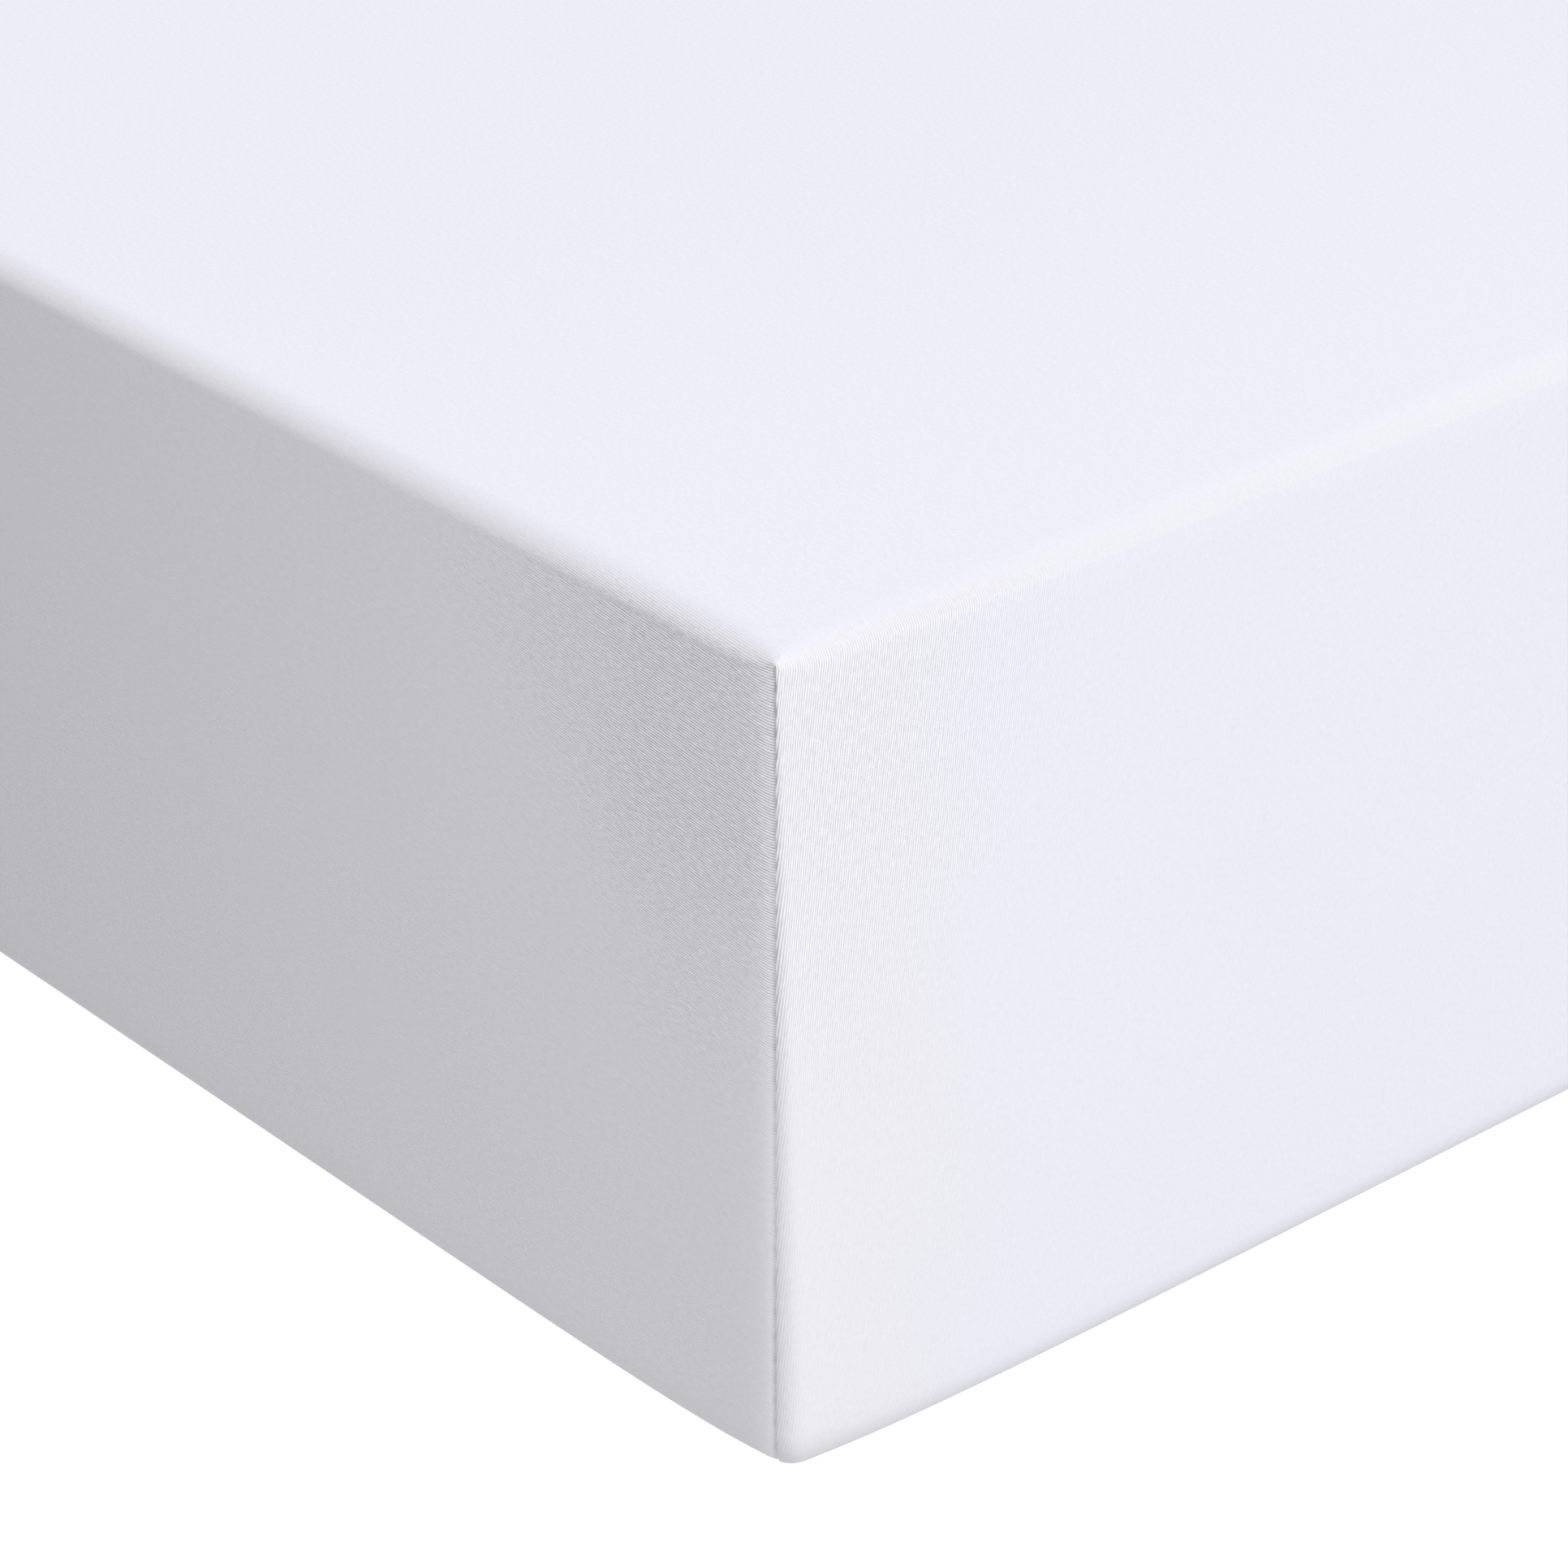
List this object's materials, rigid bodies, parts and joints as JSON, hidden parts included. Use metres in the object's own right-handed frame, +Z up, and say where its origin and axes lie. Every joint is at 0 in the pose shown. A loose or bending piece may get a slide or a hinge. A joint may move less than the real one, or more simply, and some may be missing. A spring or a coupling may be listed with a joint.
{
  "type": "fitted sheet on a mattress",
  "caption": "White jersey fitted sheet stretched over a rectangular mattress, with seamed square corners and an elasticated border turned under it.",
  "frame": {"origin": "middle of the footprint, on the plane the turned-under border rests on", "axes": "+X along the bed, +Y across it, +Z up out of the sheet's top"},
  "size_m": [2.004, 0.904, 0.205],
  "materials": {
    "jersey": "soft single-jersey knit, matt white",
    "ticking": "plain woven ticking, matt off-white"
  },
  "bodies": {
    "root": {"fitted_sheet": "jersey", "mattress": "ticking"}
  },
  "joints": []
}
